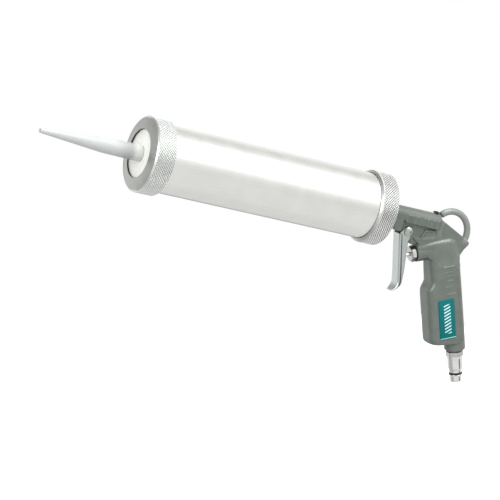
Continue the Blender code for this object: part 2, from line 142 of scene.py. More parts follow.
# Air plug, along the inlet's axis from the handle down
PLUG_TOP = 34.0
PLUG_START = 44.2
PLUG_WAIST = 49.7
PLUG_BODY = 59.3
O_RING_MIDDLE = 63.6
PLUG_BEAD_END = 65.4
PLUG_NOSE = 71.1
PLUG_FLATS = 13.6
PLUG_BORE_R = 2.4
PLUG_GROOVE_R = 4.8
INLET_THREAD_R = 6.3

WHITE = (1.0, 1.0, 1.0)


# ---------------------------------------------------------------- mesh building

def arc(centre, radius, start, end, steps):
    """Points on an arc, with angles in degrees."""
    for i in range(steps + 1):
        angle = math.radians(start + (end - start) * i / steps)
        yield centre[0] + radius * math.cos(angle), centre[1] + radius * math.sin(angle)


def softened(outline, radius, steps=3):
    """The closed outline with each corner rounded by about that radius."""
    points = [Vector(p) for p in outline]
    count = len(points)
    soft = []
    for i, corner in enumerate(points):
        before = points[i - 1] - corner
        after = points[(i + 1) % count] - corner
        start = corner + before.normalized() * min(radius, before.length * 0.45)
        end = corner + after.normalized() * min(radius, after.length * 0.45)
        for step in range(steps + 1):
            t = step / steps
            soft.append(tuple(start * (1 - t) ** 2 + corner * (2 * t * (1 - t)) + end * t ** 2))
    return soft


def bridge(bm, near, far):
    """Faces between two neighbouring rings; a ring of one point is a pole."""
    count = max(len(near), len(far))
    for i in range(count):
        j = (i + 1) % count
        if len(near) == 1:
            bm.faces.new((near[0], far[j], far[i]))
        elif len(far) == 1:
            bm.faces.new((near[i], near[j], far[0]))
        else:
            bm.faces.new((near[i], near[j], far[j], far[i]))


def turned(profile, columns=64, shape=None):
    """A body of revolution about X through (x, radius) points: solid if it starts and ends on the
    axis, and otherwise closed into a ring. shape(x, radius, angle) may change a point's radius."""
    bm = bmesh.new()
    rings = []
    for x, r in profile:
        if r == 0.0:
            rings.append([bm.verts.new((x, 0.0, 0.0))])
            continue
        ring = []
        for column in range(columns):
            angle = 2 * math.pi * column / columns
            radius = shape(x, r, angle) if shape else r
            ring.append(bm.verts.new((x, radius * math.cos(angle), radius * math.sin(angle))))
        rings.append(ring)
    pairs = list(zip(rings, rings[1:]))
    if profile[0][1] > 0.0:
        pairs.append((rings[-1], rings[0]))
    for near, far in pairs:
        bridge(bm, near, far)
    return bm


def in_groove(column, row):
    """Whether a point of the knurl's grid lies in one of the two crossing sets of grooves."""
    return (column + row) % 4 == 2 or (column - row) % 4 == 2


def knurled(front, start, end, radius, rows, back):
    """A ring with a diamond knurl from x = start to x = end, between two smooth profiles. Each
    diamond is a flat-topped pyramid, and the grooves run out on the profiles' nearest points."""
    bm = bmesh.new()
    angles = [2 * math.pi * column / KNURL_COLUMNS for column in range(KNURL_COLUMNS)]

    def ring(x, radii):
        return [bm.verts.new((x, r * math.cos(a), r * math.sin(a))) for r, a in zip(radii, angles)]

    smooth_before = [ring(x, [r] * KNURL_COLUMNS) for x, r in front]
    grid = []
    for row in range(rows + 1):
        radii = [radius - KNURL_DEPTH * in_groove(column, row) for column in range(KNURL_COLUMNS)]
        grid.append(ring(start + (end - start) * row / rows, radii))
    smooth_after = [ring(x, [r] * KNURL_COLUMNS) for x, r in back]

    for row in range(rows):
        for column in range(KNURL_COLUMNS):
            after = (column + 1) % KNURL_COLUMNS
            places = [(column, row), (column + 1, row), (column + 1, row + 1), (column, row + 1)]
            low = [in_groove(*place) for place in places]
            corners = [grid[row][column], grid[row][after], grid[row + 1][after], grid[row + 1][column]]
            # the diagonal joins two low corners, or passes beside a single one
            split = low.index(True) + (0 if sum(low) == 2 else 1)
            a, b, c, d = (corners[(split + k) % 4] for k in range(4))
            for face in (bm.faces.new((a, b, c)), bm.faces.new((a, c, d))):
                face.material_index = 1
    loops = smooth_before + [grid[0]]
    for near, far in zip(loops, loops[1:]):
        bridge(bm, near, far)
    loops = [grid[-1]] + smooth_after + [smooth_before[0]]
    for near, far in zip(loops, loops[1:]):
        bridge(bm, near, far)
    return bm


def lofted(rings):
    """A closed body through rings of points that have the same number of points each."""
    bm = bmesh.new()
    loops = [[bm.verts.new(point) for point in ring] for ring in rings]
    for near, far in zip(loops, loops[1:]):
        bridge(bm, near, far)
    bm.faces.new(loops[0][::-1])
    bm.faces.new(loops[-1])
    return bm


def extruded(outline, left, right):
    """A plate with an outline of (x, z) points, from y = left to y = right."""
    return lofted([[(x, y, z) for x, z in outline] for y in (left, right)])


def hexagon(flats, start, end, turn=0.0):
    """A shape for turned() that holds a body inside a hexagon from x = start to x = end, with its
    corners turned by some degrees."""
    def shape(x, radius, angle):
        if not start - 0.01 < x < end + 0.01:
            return radius
        across = (angle - math.radians(turn)) % math.radians(60.0) - math.radians(30.0)
        return min(radius, flats / 2 / math.cos(across))
    return shape


def washer(start, end, inner, outer, rounding):
    """A flat ring about X with rounded edges."""
    return turned(softened([(start, inner), (start, outer), (end, outer), (end, inner)], rounding))


def joined(*parts):
    """One mesh under construction from several."""
    whole = bmesh.new()
    for part in parts:
        mesh = bpy.data.meshes.new("part")
        part.to_mesh(mesh)
        part.free()
        whole.from_mesh(mesh)
        bpy.data.meshes.remove(mesh)
    return whole


def as_object(name, bm, place=WHOLE):
    """An object of a mesh drawn in millimetres in one of the frames, now in the row frame."""
    bmesh.ops.transform(bm, matrix=Matrix.Scale(MM, 4) @ place, verts=bm.verts)
    bmesh.ops.recalc_face_normals(bm, faces=bm.faces)
    mesh = bpy.data.meshes.new(name)
    bm.to_mesh(mesh)
    bm.free()
    thing = bpy.data.objects.new(name, mesh)
    bpy.context.scene.collection.objects.link(thing)
    return thing


def bake_modifiers(thing):
    """Replaces the object's mesh by what its modifiers make of it."""
    graph = bpy.context.evaluated_depsgraph_get()
    mesh = bpy.data.meshes.new_from_object(thing.evaluated_get(graph))
    thing.modifiers.clear()
    thing.data = mesh


def cut(thing, cutters):
    """Takes the cutters out of the object and deletes them."""
    for cutter in cutters:
        step = thing.modifiers.new("cut", "BOOLEAN")
        step.operation = "DIFFERENCE"
        step.solver = "EXACT"
        step.object = cutter
    bake_modifiers(thing)
    for cutter in cutters:
        bpy.data.objects.remove(cutter)


def fuse(thing, voxel, smoothing):
    """Melts overlapping closed bodies into one skin and rounds its edges, as in a casting."""
    remesh = thing.modifiers.new("fuse", "REMESH")
    remesh.mode = "VOXEL"
    remesh.voxel_size = voxel * MM
    soften = thing.modifiers.new("soften", "SMOOTH")
    soften.factor = 0.5
    soften.iterations = smoothing
    bake_modifiers(thing)


def finish_piece(thing, body, materials, replaced, sharp=35.0):
    """Gives a piece its materials and its place on the CAD model."""
    order = [min(face.material_index, len(materials) - 1) for face in thing.data.polygons]
    thing.data.materials.clear()
    for material in materials:
        thing.data.materials.append(material)
    thing.data.polygons.foreach_set("material_index", order)
    thing.data.shade_smooth()
    thing.data.set_sharp_from_angle(angle=math.radians(sharp))
    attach(thing, body)
    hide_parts(*replaced)
    return thing


# ---------------------------------------------------------------- materials

def feed(tree, socket, value):
    """Links the socket to the value's node, or sets it to the value."""
    if isinstance(value, bpy.types.NodeSocket):
        tree.links.new(value, socket)
    else:
        socket.default_value = value


def shade(colour, factor):
    return tuple(min(1.0, channel * factor) for channel in colour)


class Finish:
    """A material under construction: a Principled shader and the nodes that feed it. Patterns are
    laid out in the piece's own coordinates, with sizes in millimetres."""

    def __init__(self, name, colour, metallic=0.0, roughness=0.4, specular=0.5):
        self.material = bpy.data.materials.new(name)
        self.material.use_nodes = True
        self.tree = self.material.node_tree
        self.shader = self.tree.nodes["Principled BSDF"]
        self.shader.inputs["Base Color"].default_value = (*colour, 1.0)
        self.shader.inputs["Metallic"].default_value = metallic
        self.shader.inputs["Roughness"].default_value = roughness
        self.shader.inputs["Specular IOR Level"].default_value = specular
        self.material.diffuse_color = (*colour, 1.0)
        self.coordinates = self.node("ShaderNodeTexCoord").outputs["Object"]
        self.normal = None

    def node(self, kind, **inputs):
        made = self.tree.nodes.new(kind)
        for name, value in inputs.items():
            self.feed(made.inputs[name.replace("_", " ")], value)
        return made

    def feed(self, socket, value):
        feed(self.tree, socket, value)

    def math(self, operation, first, second=0.0):
        made = self.tree.nodes.new("ShaderNodeMath")
        made.operation = operation
        self.feed(made.inputs[0], first)
        self.feed(made.inputs[1], second)
        return made.outputs[0]

    def noise(self, size, detail=3.0, stretch=(1.0, 1.0, 1.0)):
        """Noise with features of about that size, drawn out along the axes by stretch."""
        mapping = self.node("ShaderNodeMapping", Vector=self.coordinates, Scale=stretch)
        mapping.vector_type = "TEXTURE"
        return self.node("ShaderNodeTexNoise", Vector=mapping.outputs[0], Scale=1.0 / (size * MM),
                         Detail=detail).outputs["Fac"]

    def cells(self, size, smooth=0.6):
        """Distance to the middle of rounded cells of about that size."""
        made = self.tree.nodes.new("ShaderNodeTexVoronoi")
        made.feature = "SMOOTH_F1"
        self.feed(made.inputs["Vector"], self.coordinates)
        made.inputs["Scale"].default_value = 1.0 / (size * MM)
        made.inputs["Smoothness"].default_value = smooth
        return made.outputs["Distance"]

    def radius(self):
        """Distance from the tube's axis, in metres."""
        parts = self.node("ShaderNodeSeparateXYZ", Vector=self.coordinates)
        height = self.math("SUBTRACT", parts.outputs["Z"], AXIS_Z * MM)
        squares = self.math("ADD", self.math("POWER", height, 2.0),
                            self.math("POWER", parts.outputs["Y"], 2.0))
        return self.math("SQRT", squares)

    def between(self, value, start, end, low=0.0, high=1.0):
        """A smooth rise from low to high as the value goes from start to end."""
        made = self.node("ShaderNodeMapRange", Value=value)
        made.interpolation_type = "SMOOTHSTEP"
        for name, number in (("From Min", start), ("From Max", end), ("To Min", low), ("To Max", high)):
            made.inputs[name].default_value = number
        return made.outputs[0]

    def mixed(self, share, first, second):
        """The first colour, the second, or something between them by the share."""
        made = self.tree.nodes.new("ShaderNodeMix")
        made.data_type = "RGBA"
        self.feed(made.inputs["Factor"], share)
        colours = [socket for socket in made.inputs if socket.type == "RGBA"]
        for socket, colour in zip(colours, (first, second)):
            self.feed(socket, colour if isinstance(colour, bpy.types.NodeSocket) else (*colour, 1.0))
        return next(socket for socket in made.outputs if socket.type == "RGBA")

    def tinted(self, noise, colour, low, high, end=0.75):
        """The colour, from low to high times as light as the noise goes from 0.3 to end."""
        return self.mixed(self.between(noise, 0.3, end), shade(colour, low), shade(colour, high))

    def colour(self, socket):
        self.tree.links.new(socket, self.shader.inputs["Base Color"])

    def rough(self, socket):
        self.tree.links.new(socket, self.shader.inputs["Roughness"])

    def bump(self, height, depth, strength=1.0):
        """Raises the surface by depth millimetres where height is one."""
        made = self.node("ShaderNodeBump", Height=height, Strength=strength, Distance=depth * MM)
        if self.normal:
            self.tree.links.new(self.normal, made.inputs["Normal"])
        self.normal = made.outputs[0]
        self.tree.links.new(self.normal, self.shader.inputs["Normal"])


def drawn_metal(name, colour, rough, grain=(60.0, 1.0, 1.0)):
    """Metal with fine drawing lines along its grain, faint stains and a slightly uneven sheen."""
    finish = Finish(name, colour, metallic=1.0)
    lines = finish.noise(0.35, 2.0, grain)
    stains = finish.noise(14.0, 4.0)
    finish.colour(finish.tinted(stains, colour, 0.97, 1.02))
    sheen = finish.math("ADD", finish.between(lines, 0.3, 0.7, rough[0], rough[1]),
                        finish.between(stains, 0.3, 0.8, -0.01, 0.015))
    finish.rough(sheen)
    finish.bump(lines, 0.002)
    return finish.material


def turned_metal(name, colour, rough, groove=None, groove_shade=0.38):
    """Metal off a lathe, with circular tool marks. With a knurl of radius groove, its grooves get
    painted shade, down to the last argument times as light at their bottom."""
    finish = Finish(name, colour, metallic=1.0)
    radius = finish.radius()
    marks = finish.tree.nodes.new("ShaderNodeTexNoise")
    marks.noise_dimensions = "1D"
    finish.feed(marks.inputs["W"], radius)
    marks.inputs["Scale"].default_value = 1.0 / (0.25 * MM)
    marks.inputs["Detail"].default_value = 2.0
    stains = finish.noise(6.0, 4.0)
    base = finish.tinted(stains, colour, 0.95, 1.03)
    if groove:
        # painted shade: darker toward the bottom of the knurl's grooves
        outside_grooves = finish.between(radius, (groove - KNURL_DEPTH) * MM, (groove - 0.05) * MM)
        base = finish.mixed(outside_grooves, shade(colour, groove_shade), base)
    finish.colour(base)
    finish.rough(finish.between(marks.outputs["Fac"], 0.3, 0.7, rough[0], rough[1]))
    finish.bump(marks.outputs["Fac"], 0.006)
    return finish.material


def cast_paint(name, colour):
    """Hammered paint over a casting: shallow cells, fine grain and slow changes of tone. It is
    lighter on the hanging loop."""
    finish = Finish(name, colour, metallic=0.25, specular=0.6)
    hammer = finish.cells(1.1)
    grain = finish.noise(0.35, 3.0)
    tone = finish.noise(9.0, 3.0)
    base = finish.tinted(tone, colour, 0.92, 1.07, 0.7)
    base = finish.mixed(finish.between(hammer, 0.25, 0.75, 0.0, 0.35), base, shade(colour, 0.8))
    place = finish.node("ShaderNodeSeparateXYZ", Vector=finish.coordinates).outputs
    centre = (LOOP_CENTRE[0] * MM, 0.0, LOOP_CENTRE[1] * MM)
    distance = finish.tree.nodes.new("ShaderNodeVectorMath")
    distance.operation = "DISTANCE"
    finish.feed(distance.inputs[0], finish.coordinates)
    finish.feed(distance.inputs[1], centre)
    # a lighter colour on the hanging loop
    loop_share = finish.between(distance.outputs["Value"], 0.0125, 0.0145)
    loop_share = finish.math("MULTIPLY", loop_share, finish.between(place["X"], -0.026, -0.020))
    loop_share = finish.math("MULTIPLY", loop_share, finish.between(place["Z"], 0.052, 0.058))
    loop_colour = tuple(channel + 0.11 for channel in colour)
    finish.colour(finish.mixed(loop_share, base, loop_colour))
    finish.rough(finish.math("ADD", finish.between(grain, 0.3, 0.7, 0.27, 0.35),
                             finish.between(hammer, 0.2, 0.8, -0.03, 0.05)))
    finish.bump(hammer, -0.03)
    finish.bump(grain, 0.006)
    return finish.material


def plated(name, colour, rough, scratches=0.003):
    """Bright plating with hairline scratches and a few duller patches."""
    finish = Finish(name, colour, metallic=1.0)
    hairs = finish.noise(0.2, 2.0, (1.0, 1.0, 25.0))
    patches = finish.noise(4.0, 4.0)
    finish.colour(finish.tinted(patches, colour, 0.94, 1.03))
    finish.rough(finish.math("ADD", finish.between(hairs, 0.35, 0.7, rough[0], rough[1]),
                             finish.between(patches, 0.4, 0.8, 0.0, 0.05)))
    finish.bump(hairs, scratches)
    return finish.material


def moulded(name, colour, rough, base_shadow_and_glow=False):
    """Moulded plastic: slow cloudiness in the colour and a fine tool texture. With the last option,
    the nozzle gets a painted shadow a little way from its seat and a painted glow at the seat."""
    finish = Finish(name, colour, specular=0.45)
    grain = finish.noise(0.25, 3.0)
    base = finish.tinted(finish.noise(7.0, 3.0), colour, 0.97, 1.02)
    if base_shadow_and_glow:
        along = finish.node("ShaderNodeSeparateXYZ", Vector=finish.coordinates).outputs["X"]
        zero = FRONT_X * MM
        # painted shadow, then painted glow, along the nozzle's lower end toward its seat
        painted_shadow = finish.between(along, zero - 0.026, zero - 0.011, 0.0, 0.55)
        base = finish.mixed(painted_shadow, base, shade(colour, 0.55))
        painted_glow = finish.between(along, zero - 0.0105, zero - 0.005, 0.0, 0.85)
        base = finish.mixed(painted_glow, base, (0.72, 0.73, 0.69))
    finish.colour(base)
    finish.rough(finish.between(grain, 0.3, 0.7, rough[0], rough[1]))
    finish.bump(grain, 0.006)
    return finish.material


def rubber(name, colour):
    """Dull rubber with a little dust on it."""
    finish = Finish(name, colour, specular=0.35)
    dust = finish.noise(2.5, 5.0)
    grain = finish.noise(0.3, 4.0)
    finish.colour(finish.mixed(finish.between(dust, 0.45, 0.75, 0.0, 0.5), colour, shade(colour, 2.2)))
    finish.rough(finish.between(grain, 0.3, 0.7, 0.45, 0.65))
    finish.bump(grain, 0.015)
    return finish.material


def printed_label(name, colour, line):
    """A printed film: a plain ground with one bright line near its lower edge and a column of
    slanting dashes, and the print's fine grain. The label's UV map is in millimetres."""
    finish = Finish(name, colour, specular=0.15)
    parts = finish.node("ShaderNodeSeparateXYZ", Vector=finish.node("ShaderNodeUVMap").outputs[0])
    down = parts.outputs["Y"]
    grain = finish.noise(0.3, 2.0)
    ground = finish.tinted(grain, colour, 0.93, 1.08, 0.7)

    across = parts.outputs["X"]

    def band(place, start, end, edge=0.15):
        """One from start to end, and nothing beyond."""
        rise = finish.between(place, start - edge, start + edge)
        fall = finish.between(place, end - edge, end + edge, 1.0, 0.0)
        return finish.math("MULTIPLY", rise, fall)

    slanted = finish.math("ADD", down, finish.math("MULTIPLY", across, 0.35))
    dashes = finish.math("PINGPONG", slanted, 1.4)
    dashes = finish.between(dashes, 0.75, 0.95)
    column = finish.math("MULTIPLY", band(across, -4.45, 1.85), band(down, -1.5, 24.0))
    ground = finish.mixed(finish.math("MULTIPLY", dashes, column), ground, (0.62, 0.88, 0.87))
    finish.colour(finish.mixed(band(down, 27.6, 28.2), ground, line))
    finish.rough(finish.between(grain, 0.3, 0.7, 0.38, 0.48))
    finish.bump(grain, 0.004)
    return finish.material


MATERIALS = {
    "tube": drawn_metal("tube_aluminium", (0.865, 0.87, 0.832), (0.27, 0.36)),
    "smooth_ring": turned_metal("turned_aluminium", (0.84, 0.85, 0.83), (0.18, 0.26)),
    "cap_collar": turned_metal("cap_aluminium", (0.72, 0.73, 0.71), (0.7, 0.8)),
    "cap_chamfer": turned_metal("chamfer_aluminium", (0.62, 0.63, 0.61), (0.26, 0.36)),
    # the last number of each knurl finish is the painted shade at the bottom of its grooves
    "front_knurl": turned_metal("front_knurl_aluminium", (0.86, 0.88, 0.855), (0.34, 0.46), RING_R, 0.66),
    "rear_knurl": turned_metal("rear_knurl_aluminium", (0.92, 0.93, 0.91), (0.26, 0.38), CAP_R, 0.25),
    "ring_face": turned_metal("etched_aluminium", (0.43, 0.44, 0.415), (0.28, 0.34)),
    # painted shadow: near-black metal for the wall of the front ring's hole
    "painted_shadow_wall": turned_metal("painted_shadow_aluminium", (0.03, 0.03, 0.03), (0.5, 0.6)),
    "paint": cast_paint("grey_paint", (0.167, 0.190, 0.169)),
    "zinc": drawn_metal("trigger_zinc", (0.56, 0.60, 0.58), (0.24, 0.32), (1.0, 1.0, 30.0)),
    # painted shade: near-black colour for the middle of the trigger's flange grooves
    "painted_groove_shadow": rubber("trigger_groove_shadow", (0.05, 0.055, 0.055)),
    "chrome": plated("bright_chrome", (0.82, 0.82, 0.81), (0.07, 0.14)),
    "nut": plated("nickel_nut", (0.58, 0.58, 0.555), (0.22, 0.3)),
    "pin": plated("satin_nickel", (0.47, 0.53, 0.48), (0.2, 0.3), 0.01),
    "brass": plated("turned_brass", (0.62, 0.47, 0.22), (0.22, 0.34)),
    "spring": drawn_metal("spring_steel", (0.45, 0.45, 0.46), (0.22, 0.36), (1.0, 1.0, 1.0)),
    "rubber": rubber("black_rubber", (0.016, 0.016, 0.017)),
    "white": moulded("white_plastic", (0.97, 0.97, 0.93), (0.35, 0.5)),
    "milky": moulded("milky_plastic", (0.70, 0.72, 0.71), (0.28, 0.4)),
    "nozzle": moulded("nozzle_plastic", (0.59, 0.61, 0.60), (0.28, 0.4), base_shadow_and_glow=True),
    "label": printed_label("label_teal", (0.001, 0.155, 0.165), (0.30, 0.86, 0.84)),
}


# ---------------------------------------------------------------- pieces on the tube's axis

def build_rings():
    wall = [(RING_SEAT, RING_HOLE_R), (0.3 - RING_DOME, RING_HOLE_R)]
    face = [(-RING_DOME, RING_HOLE_R + 0.3), (-0.15, RING_FACE_R - 0.3), (0.0, RING_FACE_R)]
    bevel = [(0.15, RING_FACE_R + 0.2), (RING_BEVEL - 0.15, RING_R - KNURL_DEPTH - 0.1)]
    inside = [(RING_LENGTH - 0.1, RING_R - KNURL_DEPTH - 0.1), (RING_LENGTH, RING_R - 0.9),
              (RING_LENGTH, THREAD_ROOF_R + 0.9), (RING_LENGTH - 1.0, THREAD_ROOF_R),
              (1.4, THREAD_ROOF_R), (1.4, RING_STEP_R), (RING_SEAT, RING_STEP_R)]
    bm = knurled(wall + face + bevel, RING_BEVEL, RING_LENGTH - 0.4, RING_R, 26, inside)
    for part in bm.faces:
        middle = part.calc_center_median()
        radius = math.hypot(middle.y, middle.z)
        if middle.x < 0.0 and radius < RING_FACE_R:
            # the hole's wall gets the painted shadow, the rest of the face its etched finish
            part.material_index = 3 if radius < RING_HOLE_R + 0.1 else 2
    finish_piece(as_object("knurled_front_ring", bm, AXIS), "ring",
                 [MATERIALS["smooth_ring"], MATERIALS["front_knurl"], MATERIALS["ring_face"],
                  MATERIALS["painted_shadow_wall"]], ["front_ring"], 20.0)

    collar = [(CAP_LIP + 0.6, THREAD_ROOF_R), (CAP_LIP, THREAD_ROOF_R + 0.25),
              (CAP_LIP, THREAD_ROOF_R + 0.45), (CAP_LIP + CAP_CHAMFER, CAP_COLLAR_R - 0.15),
              (CAP_LIP + CAP_CHAMFER + 0.3, CAP_COLLAR_R), (CAP_KNURL - 0.3, CAP_COLLAR_R)]
    back = [(CAP_BACK - 0.7, CAP_R - KNURL_DEPTH - 0.1), (CAP_BACK - 0.2, CAP_R - 0.9),
            (CAP_BACK, CAP_R - 1.3), (CAP_BACK, 24.0), (CAP_BACK, ADAPTER_HOLE_R + 0.3),
            (CAP_BACK - 0.3, ADAPTER_HOLE_R), (CAP_PLATE, ADAPTER_HOLE_R), (CAP_PLATE, THREAD_ROOF_R)]
    bm = knurled(collar, CAP_KNURL, CAP_BACK - 0.8, CAP_R, 24, back)
    for part in bm.faces:
        if part.calc_center_median().x < CAP_LIP + CAP_CHAMFER:
            part.material_index = 2
    finish_piece(as_object("knurled_rear_cap", bm, AXIS), "gun",
                 [MATERIALS["cap_collar"], MATERIALS["rear_knurl"], MATERIALS["cap_chamfer"]],
                 ["rear_cap"], 20.0)


def build_tube():
    def thread(x, radius, angle):
        if radius < TUBE_R or not TUBE_START < x < THREAD_END:
            return radius
        fade = min(1.0, (THREAD_END - x) / THREAD_PITCH)
        wave = 0.5 - 0.5 * math.cos(2 * math.pi * x / THREAD_PITCH - angle)
        return radius - THREAD_DEPTH * wave * fade

    steps = 72
    threaded = [(TUBE_START + (THREAD_END - TUBE_START) * i / steps, TUBE_R) for i in range(steps + 1)]
    plain = [(THREAD_END + 0.3, TUBE_R), (TUBE_END, TUBE_R)]
    bm = turned([(TUBE_START, TUBE_INNER_R)] + threaded + plain + [(TUBE_END, TUBE_INNER_R)], 192, thread)
    finish_piece(as_object("threaded_tube", bm, AXIS), "gun",
                 [MATERIALS["tube"]], ["barrel_tube"])


def build_cartridge():
    face = CARTRIDGE_FACE
    back_face = face + 2.0
    outside = [(face, CARTRIDGE_R), (face, NECK_R), (NECK_END, NECK_R), (NECK_END, NECK_BORE_R)]
    inside = [(back_face, NECK_BORE_R), (back_face, CARTRIDGE_INNER_R - 1.0),
              (back_face + 1.0, CARTRIDGE_INNER_R), (TUBE_END, CARTRIDGE_INNER_R)]
    profile = softened([(TUBE_END, CARTRIDGE_R)] + outside + inside, 0.5)
    finish_piece(as_object("sealant_cartridge", turned(profile, 128), AXIS), "cartridge",
                 [MATERIALS["white"]], ["cartridge_body"])

    bore = NECK_R + 0.3
    profile = [(NOZZLE_SEAT, bore), (NOZZLE_SEAT, NOZZLE_BASE_R), (NOZZLE_SHOULDER, NOZZLE_SHOULDER_R),
               (NOZZLE_TIP, NOZZLE_TIP_R), (NOZZLE_TIP, NOZZLE_TIP_R - NOZZLE_WALL),
               (NOZZLE_SHOULDER - 2.0, NOZZLE_SHOULDER_R - 1.3), (NECK_END - 1.0, bore - 0.4),
               (NECK_END - 0.3, bore)]
    finish_piece(as_object("long_nozzle", turned(softened(profile, 0.35, 4), 96), AXIS), "nozzle",
                 [MATERIALS["nozzle"]], ["nozzle"])


# ---------------------------------------------------------------- handle

def handle_cutters():
    """The cast recesses in both sides of the web: the deep groove under the barrel, and two
    shallow pockets with a slanting rib between them."""
    under = [(-49.6, 57.4), (-38.0, 57.5), (-26.8, 59.3), (-26.8, 60.3), (-40.0, 60.0), (-49.6, 60.0)]
    front_pocket = [(-49.6, 57.9), (-49.6, 51.4), (-46.6, 49.3), (-41.7, 49.7), (-37.8, 57.9)]
    rear_pocket = [(-35.6, 57.0), (-31.6, 57.2), (-26.6, 59.6), (-26.6, 53.8), (-30.6, 52.0),
                   (-39.4, 50.4)]
    return [as_object("pocket", extruded(softened(outline, 0.8), side * floor, side * 9.0))
            for side in (-1, 1)
            for outline, floor in ((under, 4.0), (front_pocket, 4.4), (rear_pocket, 4.8))]


# Bars cast in the sides of the grip above the label: place down the grip, start and end across it,
# and height, which is negative for a sunk bar
GRIP_BARS = [(-33.0, -2.2, 8.8, 0.5), (-28.4, -1.6, 6.0, -0.35), (-25.4, 0.8, 6.4, -0.3),
             (-21.1, 0.4, 6.2, 0.5), (-15.7, -1.8, 4.8, -0.4), (-9.6, -0.7, 8.4, 0.5)]
BAR_HALF = 0.9

# Upright line sunk in the sides of the grip above the bars: place across it, top and bottom
GRIP_LINE = (-1.9, -44.0, -36.0)
LINE_DEPTH = 0.45
LINE_HALF = 0.7

# Upright ribs on the sides of the barrel, by their X in the whole gun's frame
BARREL_RIBS = [-56.2, -53.4, -48.4, -41.2, -37.8, -32.4, -28.4]
RIB_HEIGHT = 0.9
RIB_HALF = 1.0

# Position along the valve's axis, half width and height of the shoulder, then half width and
# height of its foot, in the grip's frame
SHOULDER_STATIONS = [
    (-22.6, 6.7, 56.6, 6.2, 46.0), (-14.0, 7.4, 57.0, 6.4, 44.0), (-8.0, 7.9, 57.1, 9.6, 38.0),
    (0.0, 8.2, 57.2, 10.9, 30.0), (8.0, 8.3, 57.0, 10.9, 30.0), (12.0, 7.6, 55.6, 10.9, 30.0),
    (14.5, 6.4, 53.0, 10.4, 32.0),
]


def tent(distance, half):
    """One at no distance, falling to nothing at half."""
    return max(0.0, 1.0 - abs(distance) / half)


def raise_details(mesh):
    """Raises and sinks the bars on the grip's sides and raises the ribs on the barrel's sides, by
    moving the casting's skin sideways."""
    to_grip = (Matrix.Scale(MM, 4) @ GRIP).inverted()
    line, line_top, line_bottom = GRIP_LINE
    for vert in mesh.vertices:
        x, y, z = vert.co / MM
        lift = 0.0
        place = to_grip @ vert.co
        u, w = place.x, -place.z
        if abs(y) > GRIP_HALF - 1.2 and w < 0.0:
            for place_down, start, end, height in GRIP_BARS:
                along = max(0.0, min(1.0, min(u - start, end - u) / 0.5 + 0.5))
                lift += height * along * tent(w - place_down, BAR_HALF)
            if line_top < w < line_bottom:
                lift -= LINE_DEPTH * tent(u - line, LINE_HALF)
        elif abs(y) > 5.5 and 60.2 < z < 67.0:
            lift += max(RIB_HEIGHT * tent(x - rib, RIB_HALF) for rib in BARREL_RIBS)
        vert.co.y += math.copysign(lift, y) * MM


def shoulder():
    """The casting's rounded shoulder, from the valve's boss back to the rear of the grip."""
    def ring(u, half, top, foot, bottom):
        rounding = 4.8
        points = [(-foot, bottom)]
        points += arc((rounding - half, top - rounding), rounding, 180, 90, 6)
        points += arc((half - rounding, top - rounding), rounding, 90, 0, 6)
        points.append((foot, bottom))
        return [(u, y, height) for y, height in points]

    return lofted([ring(*station) for station in SHOULDER_STATIONS])


def build_handle():
    bm = bmesh.new()
    bm.from_mesh(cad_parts["handle_body"].data)
    bmesh.ops.remove_doubles(bm, verts=bm.verts, dist=1e-7)
    bmesh.ops.transform(bm, matrix=Matrix.Scale(1 / MM, 4), verts=bm.verts)
    casting = as_object("cast_handle", bm)
    cut(casting, handle_cutters())

    boss = turned([(VALVE_FRONT, CHAMBER_R), (VALVE_FRONT, VALVE_BOSS_R - 0.4),
                   (VALVE_FRONT + 0.4, VALVE_BOSS_R), (-10.0, VALVE_BOSS_R + 0.2),
                   (2.0, VALVE_BOSS_R + 0.8), (8.0, VALVE_BOSS_R + 0.5),
                   (11.5, VALVE_BOSS_R - 0.6), (13.0, CHAMBER_R)])
    bmesh.ops.transform(boss, matrix=VALVE, verts=boss.verts)
    upper = shoulder()
    bmesh.ops.transform(upper, matrix=GRIP, verts=upper.verts)
    panel = softened([(-59.4, 60.2), (-26.8, 60.2), (-26.8, 67.4), (-59.4, 67.4)], 0.6)
    panels = [extruded(panel, side * 4.2, side * 7.25) for side in (-1, 1)]
    lug = [(-52.0, 50.5), (-50.4, 46.2), (-46.9, 43.1), (-40.0, 45.5), (-42.0, 50.0), (-47.0, 53.0)]
    panels.append(extruded(softened(lug, 1.0), -4.4, 4.4))
    body = bmesh.new()
    body.from_mesh(casting.data)
    bmesh.ops.transform(body, matrix=Matrix.Scale(1 / MM, 4), verts=body.verts)
    bpy.data.objects.remove(casting)
    casting = as_object("cast_handle", joined(body, boss, upper, *panels))
    fuse(casting, 0.45, 5)
    raise_details(casting.data)
    finish_piece(casting, "gun", [MATERIALS["paint"]], ["handle_body"], 60.0)


def build_handle_trim():
    dome = [(3.6, 0.0), (3.6, 2.0), (7.5, 2.0), (7.5, 2.9)]
    dome += [(7.8 + 1.2 * height, 2.9 * width) for width, height in arc((0.0, 0.0), 1.0, 0, 80, 8)]
    dome.append((9.0, 0.0))
    place = Matrix.Translation((VENT_X, 0.0, AXIS_Z)) @ UPWARD
    finish_piece(as_object("vent_button", turned(dome, 48), place), "gun",
                 [MATERIALS["rubber"]], ["vent_plug"])

    left, right, top, bottom = -9.0, 5.8, -5.3, 28.8
    outline = softened([(left, -top), (right, -top), (right, -bottom), (left, -bottom)], 1.2, 6)
    bm = extruded(outline, -GRIP_HALF - 0.62, -GRIP_HALF - 0.3)
    bmesh.ops.bevel(bm, geom=[e for e in bm.edges if abs(e.verts[0].co.y - e.verts[1].co.y) < 1e-6],
                    offset=0.1, segments=2, affect="EDGES", profile=0.5)
    layer = bm.loops.layers.uv.new("millimetres")
    for face in bm.faces:
        for loop in face.loops:
            loop[layer].uv = (loop.vert.co.x, -loop.vert.co.z)
    finish_piece(as_object("printed_label", bm, GRIP), "gun",
                 [MATERIALS["label"]], ["grip_label"])


# ---------------------------------------------------------------- trigger, valve and plug

